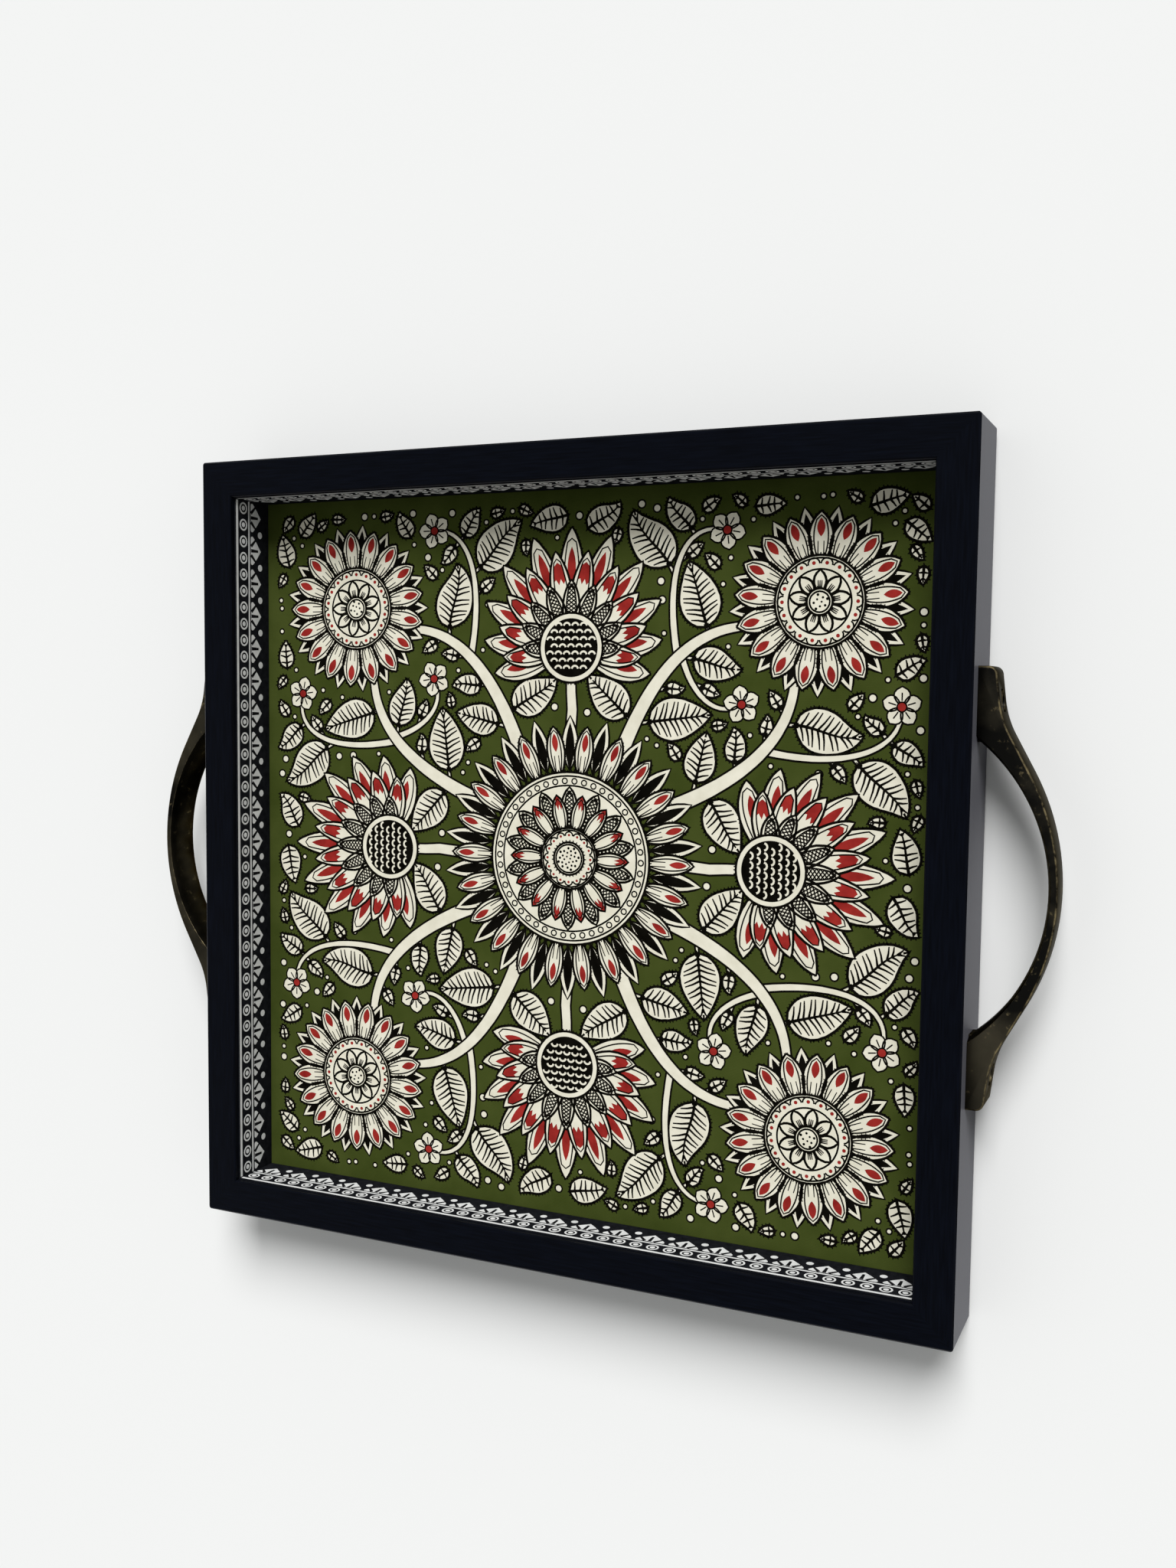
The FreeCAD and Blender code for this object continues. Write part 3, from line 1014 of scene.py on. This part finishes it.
# %% Lacquer on the rails
def lacquer(name, stretch):
    material, tree, shader = pattern_material(name, 0.38, specular=0.035)
    shader.inputs["Sheen Weight"].default_value = 0.22
    shader.inputs["Sheen Roughness"].default_value = 0.25
    shader.inputs["Sheen Tint"].default_value = (0.8, 0.8, 0.9, 1)
    _, noise, _ = drift(tree, shader, (0.0003, 0.0006, 0.0018), (0.0016, 0.0025, 0.0058), 90, 6, stretch)
    bump(tree, shader, noise.outputs["Fac"], 0.12, 0.0002)
    return material


def dress(node_names, material):
    """Gives CAD nodes a finish."""
    for name in node_names:
        node = nodes[name]
        node.data.materials.clear()
        node.data.materials.append(material)


dress(["rail_right", "rail_left"], lacquer("lacquer_along_y", (14, 0.8, 14)))
dress(["rail_top", "rail_bottom"], lacquer("lacquer_along_x", (0.8, 14, 14)))
print("rail finishes", [nodes[f"rail_{side}"].data.materials[0].name for side in SIDES])

# %% [markdown]
# The card of the border is charcoal. Panel, pads and steel are seen from below only, and the board not at
# all, but each has the grain or grit that its stuff has.

# %% Card, boards, steel and rubber
def plain_stuff(name, roughness, low, high, scale, metallic=0.0, specular=0.3, stretch=(1, 1, 1)):
    material, tree, shader = pattern_material(name, roughness, metallic, specular)
    _, noise, _ = drift(tree, shader, low, high, scale, 6, stretch)
    bump(tree, shader, noise.outputs["Fac"], 0.1, 0.0003)
    return material


charcoal = plain_stuff("charcoal_card", 0.8, (0.007, 0.0075, 0.009), (0.014, 0.015, 0.018), 400, specular=0.0)
dress([f"border_strip_{side}" for side in SIDES], charcoal)
dress(["picture_board"], plain_stuff("grey_board", 0.9, (0.2, 0.15, 0.1), (0.3, 0.24, 0.17), 300))
dress(["base_panel"], plain_stuff("stained_panel", 0.7, (0.006, 0.0055, 0.005), (0.02, 0.018, 0.015), 150,
                                  stretch=(1, 9, 1)))
steel = plain_stuff("bright_steel_wire", 0.35, (0.4, 0.4, 0.4), (0.58, 0.58, 0.57), 900, 1.0)
corners = ("top_right", "top_left", "bottom_left", "bottom_right")
dress(["panel_staples"] + [f"mitre_wedges_{corner}" for corner in corners], steel)
rubber = plain_stuff("pad_rubber", 0.85, (0.012, 0.012, 0.012), (0.025, 0.025, 0.025), 700)
dress([f"pad_{corner}" for corner in corners], rubber)
print("finishes so far", len(bpy.data.materials))

# %% [markdown]
# The handles are cast brass that was darkened and then handled. The dark coat wore off first along the
# arrises, which shows as gold lines, and here and there in specks. The bevels lean, so the mask of the
# edges reads the slant of the surface: faces that look straight up or straight out have none.

# %% Antique brass
def antique_brass():
    material, tree, shader = pattern_material("antique_brass", 0.4, metallic=1.0)
    dark, coat = (0.006, 0.0058, 0.0052), (0.046, 0.04, 0.027)
    _, noise, ramp = drift(tree, shader, dark, coat, 30, 8, span=(0.4, 0.64))
    shader.inputs["Specular Tint"].default_value = (0.4, 0.38, 0.32, 1)
    geometry = tree.nodes.new("ShaderNodeNewGeometry")
    normal = tree.nodes.new("ShaderNodeSeparateXYZ")
    tree.links.new(geometry.outputs["Normal"], normal.inputs[0])
    slant = ramp_node(tree, math_node(tree, "ABSOLUTE", normal.outputs["Z"]), 0.45, 0.7)
    slant.color_ramp.elements.new(0.95).color = (0, 0, 0, 1)
    place = tree.nodes.new("ShaderNodeTexCoord")
    rub = tree.nodes.new("ShaderNodeTexNoise")
    rub.inputs["Scale"].default_value = 240
    rub.inputs["Detail"].default_value = 8
    rub.inputs["Roughness"].default_value = 0.68
    tree.links.new(place.outputs["Object"], rub.inputs["Vector"])
    specks = ramp_node(tree, rub.outputs["Fac"], 0.6, 0.76)
    broken = ramp_node(tree, rub.outputs["Fac"], 0.4, 0.6)
    edge_rub = math_node(tree, "MULTIPLY", slant.outputs["Color"], broken.outputs["Color"])
    worn = math_node(tree, "MAXIMUM", edge_rub, specks.outputs["Color"])
    mix = tree.nodes.new("ShaderNodeMix")
    mix.data_type = "RGBA"
    mix.inputs[7].default_value = (0.2, 0.16, 0.085, 1)
    tree.links.new(worn, mix.inputs[0])
    tree.links.new(ramp.outputs["Color"], mix.inputs[6])
    tree.links.new(mix.outputs[2], shader.inputs["Base Color"])
    bump(tree, shader, noise.outputs["Fac"], 0.15, 0.0004)
    return material


brass = antique_brass()
print("nodes in the brass", len(brass.node_tree.nodes))

# %% [markdown]
# A casting has no knife edges. Each handle starts as a copy of the CAD one, whose size and screw seats are
# right. Its loose triangles are merged, flat faces are joined again, and a small bevel with three steps
# rounds every edge, so that the arrises catch the light as a line.

# %% Rounded handles
WELD = 0.002 * MM
ARRIS = 0.35 * MM


def rounded_handle(node_name):
    bpy.ops.object.select_all(action="DESELECT")
    source = nodes[node_name]
    source.select_set(True)
    bpy.context.view_layer.objects.active = source
    bpy.ops.object.duplicate()
    handle = bpy.context.object
    handle.name = node_name.replace("handle", "cast_handle")
    bpy.ops.object.mode_set(mode="EDIT")
    bpy.ops.mesh.select_all(action="SELECT")
    bpy.ops.mesh.remove_doubles(threshold=WELD)
    bpy.ops.mesh.dissolve_limited(angle_limit=math.radians(1))
    bpy.ops.object.mode_set(mode="OBJECT")
    edges = handle.modifiers.new("edges", "BEVEL")
    edges.width = ARRIS
    edges.segments = 3
    edges.limit_method = "ANGLE"
    edges.angle_limit = math.radians(28)
    bpy.ops.object.modifier_apply(modifier="edges")
    bpy.ops.object.shade_smooth_by_angle(angle=math.radians(35))
    handle.data.materials.clear()
    handle.data.materials.append(brass)
    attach(handle, "root")
    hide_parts(node_name)
    return handle


for side in ("right", "left"):
    handle = rounded_handle(f"handle_{side}")
    print(handle.name, "faces", len(handle.data.polygons))
screws = [f"handle_screw_{side}_{end}" for side in ("right", "left") for end in ("top", "bottom")]
dark_brass = plain_stuff("screw_brass_dark", 0.45, (0.03, 0.024, 0.015), (0.08, 0.06, 0.03), 500, 1.0)
dress(screws, dark_brass)
print("materials", len(bpy.data.materials))

# %% [markdown]
# Last, the view transform is set to Standard.

# %% View transform
bpy.context.scene.view_settings.view_transform = "Standard"
